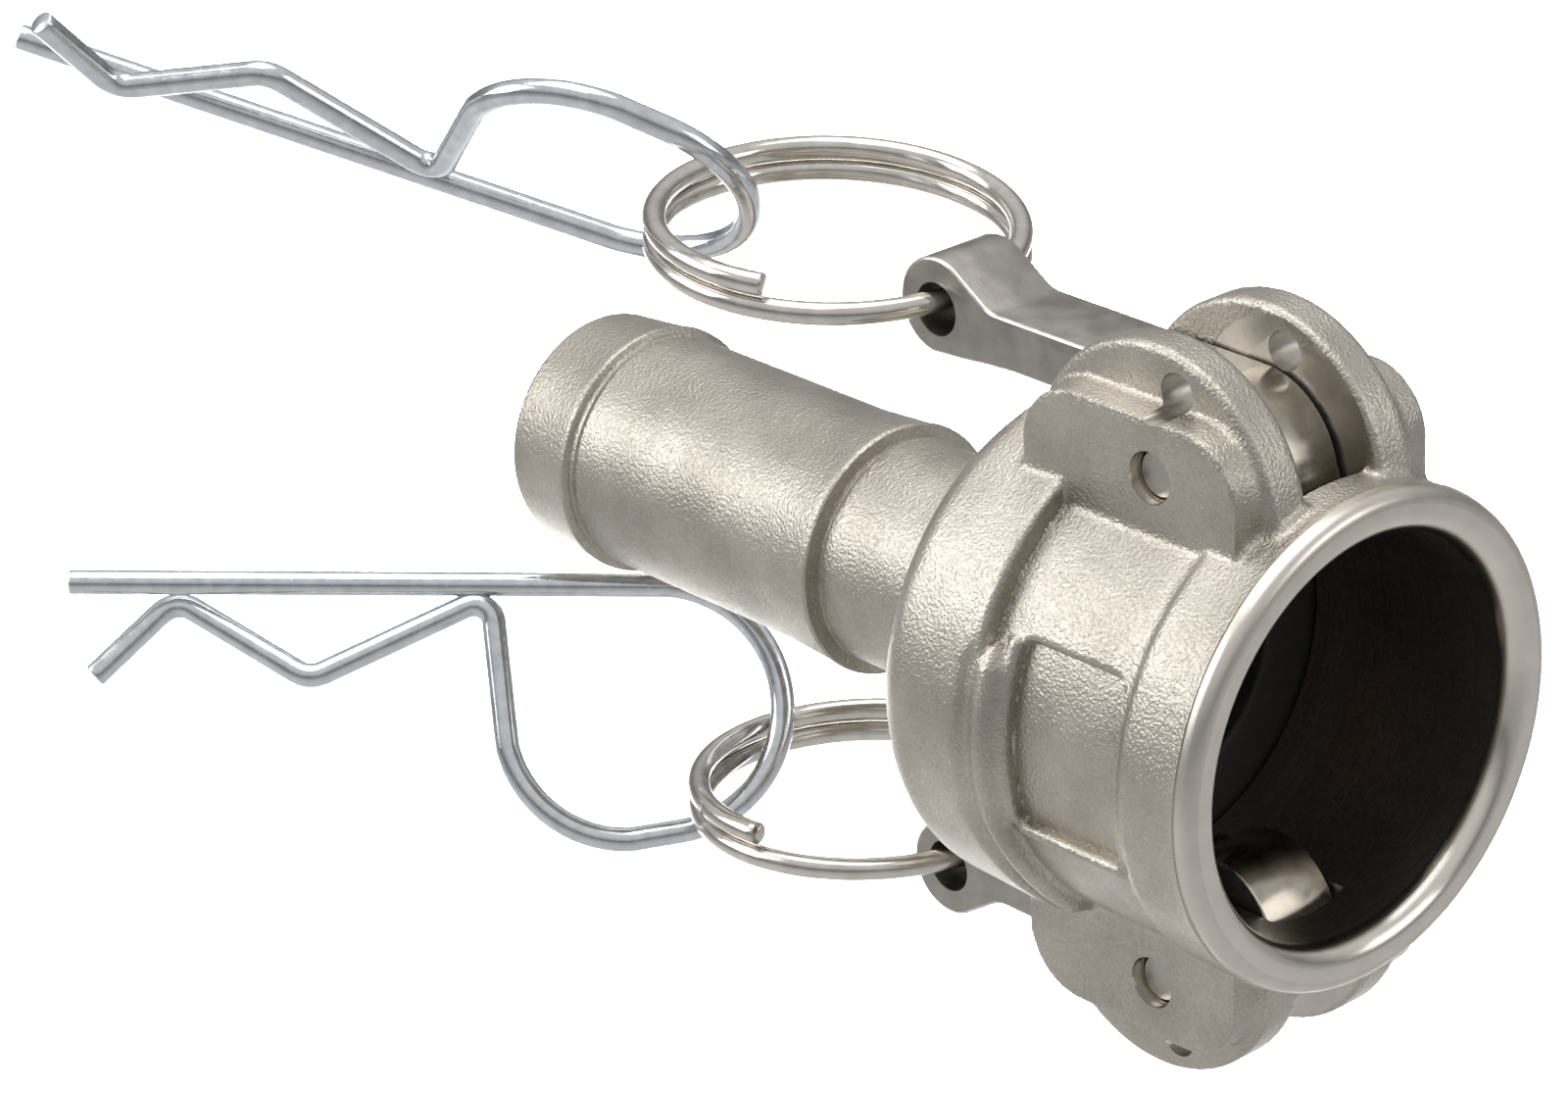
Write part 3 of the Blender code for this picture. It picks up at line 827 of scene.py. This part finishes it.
def wire_piece(name, path, reference, radius, material, sides=28):
    """Round wire along a path: point (i, j) is path point i plus the radius turned by
    j steps round the path, measured from the reference direction. At both ends
    four narrowing rings break the edge, and the opening is closed flat.
    """
    tangent = np.gradient(path, axis=0)
    tangent /= np.linalg.norm(tangent, axis=1)[:, None]
    aside = np.cross(tangent, reference)
    aside /= np.linalg.norm(aside, axis=1)[:, None]
    above = np.cross(aside, tangent)
    edge = np.array([0.0, 0.86, 0.96, 1.0])
    inset = np.array([0.0, 0.0, 0.05, 0.16]) * radius
    start = path[0] + tangent[0] * inset[:, None]
    end = (path[-1] - tangent[-1] * inset[:, None])[::-1]
    spine = np.vstack([start, path[2:-2], end])
    wide = np.concatenate([edge, np.ones(len(path) - 4), edge[::-1]]) * radius
    aside = np.vstack([aside[[0] * 4], aside[2:-2], aside[[-1] * 4]])
    above = np.vstack([above[[0] * 4], above[2:-2], above[[-1] * 4]])
    angle = np.arange(sides) * math.tau / sides
    spread = (np.cos(angle)[None, :, None] * aside[:, None]
              + np.sin(angle)[None, :, None] * above[:, None])
    points = (spine[:, None] + wide[:, None, None] * spread).reshape(-1, 3)
    row, column = np.meshgrid(np.arange(len(spine) - 1), np.arange(sides), indexing="ij")
    here = row * sides + column
    beside = row * sides + (column + 1) % sides
    faces = np.stack([here, here + sides, beside + sides, beside], axis=2).reshape(-1, 4)
    piece = outward(new_piece(name, points, faces, material))
    piece.data.set_sharp_from_angle(angle=math.radians(50))
    return piece


for side, centre, normal, end in (
        ("upper", (-57.1, -0.3, 25.8), (0.08, -0.02, 0.997), 654),
        ("lower", (-56.6, 1.5, -24.3), (-0.025, 0.015, 1.0), 637)):
    normal = np.array(normal) / np.linalg.norm(normal)
    toward_eye = np.array([1.0, 0, 0]) - normal * normal[0]
    toward_eye /= np.linalg.norm(toward_eye)
    across = np.cross(normal, toward_eye)
    turn = np.radians(np.linspace(RING_START, end, COIL_POINTS))[:, None]
    rise = RING_PITCH * (end - RING_START) / 360
    climb = (np.linspace(-0.5, 0.5, COIL_POINTS) * rise)[:, None]
    coil = (np.array(centre) + RING_RADIUS * (np.cos(turn) * toward_eye + np.sin(turn) * across)
            + climb * normal)
    ring = wire_piece(f"{side}_ring", coil, normal, RING_WIRE, ring_skin)
    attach(ring, f"ring_{side}")
    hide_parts(f"split_ring_{side}")


# ---------------------------------------------------------------------------
# Safety clips: hairpins of zinc-plated spring wire, bent cold, each with a straight
# leg, a loop that the ring passes through, and a leg that waves.

CLIP_WIRE = 1.05
CLIP_POINTS = 420

clip_skin, clip_inputs = finish_of("zinc_plate", metallic=1.0)
clip_place = place_on_object()
clip_cloud = noise(clip_place, 1.2, 4.0)
clip_pits = noise(clip_place, 0.3, 2.0).span(0.62, 0.74)
Signal.feed(clip_inputs["Base Color"],
            clip_cloud.span(0.3, 0.7).blend((0.63, 0.665, 0.70, 1), (0.80, 0.83, 0.86, 1)))
Signal.feed(clip_inputs["Roughness"], clip_cloud.span(0.3, 0.7, 0.1, 0.2) + clip_pits * 0.15)
Signal.feed(clip_inputs["Normal"], bump(clip_cloud + clip_pits * 0.5, 0.16, 0.04))


def rounded(corners, radii, steps=8):
    """A polyline whose inner corners become arcs of the given radii."""
    path = [corners[:1]]
    for before, corner, after, radius in zip(corners, corners[1:], corners[2:], radii):
        back = (before - corner) / np.linalg.norm(before - corner)
        ahead = (after - corner) / np.linalg.norm(after - corner)
        half = math.acos(float(back @ ahead)) / 2
        middle = (back + ahead) / np.linalg.norm(back + ahead)
        centre = corner + middle * radius / math.sin(half)
        first = corner + back * radius / math.tan(half) - centre
        last = corner + ahead * radius / math.tan(half) - centre
        sweep = math.pi - 2 * half
        share = np.linspace(0, 1, steps + 1)[:, None]
        path.append(centre + (np.sin((1 - share) * sweep) * first
                              + np.sin(share * sweep) * last) / math.sin(sweep))
    return np.vstack([*path, corners[-1:]])


def clip_path():
    """The clip's centre line in its own plane, evenly spaced: u along the straight
    leg, v across it, and a small w where the waving leg leaves the plane.
    """
    loop = chain((0, 0), arc((49.9, 10.6), 10.6, -85, 78, 40),
                 arc((47.2, 11.4), 10.35, 88, 165, 20))
    wave = np.array([(37.0, 12.5, 0), (35.7, 0.9, 0), (20.4, 8.2, 0), (8.9, 1.1, 2.1),
                     (2.1, 7.8, 2.1)])
    path = np.vstack([np.column_stack([loop, np.zeros(len(loop))]),
                      rounded(wave, (1.7, 2.3, 2.3))])
    length = np.concatenate([[0], np.cumsum(np.linalg.norm(np.diff(path, axis=0), axis=1))])
    even = np.linspace(0, length[-1], CLIP_POINTS)
    return np.column_stack([np.interp(even, length, path[:, item]) for item in range(3)])


for side, tip, leg, wave in (
        ("upper", (-112.9, -38.7, 39.0), (0.686, 0.642, -0.344), (0.641, -0.308, 0.703)),
        ("lower", (-112.3, -39.3, -9.3), (0.640, 0.766, -0.056), (0.384, -0.382, -0.841))):
    along = np.array(leg) / np.linalg.norm(leg)
    out_of_plane = np.cross(along, wave)
    out_of_plane /= np.linalg.norm(out_of_plane)
    basis = np.stack([along, np.cross(out_of_plane, along), out_of_plane])
    clip = wire_piece(f"{side}_clip", np.array(tip) + clip_path() @ basis, out_of_plane,
                      CLIP_WIRE, clip_skin)
    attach(clip, f"clip_{side}")
    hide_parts(f"safety_clip_{side}")
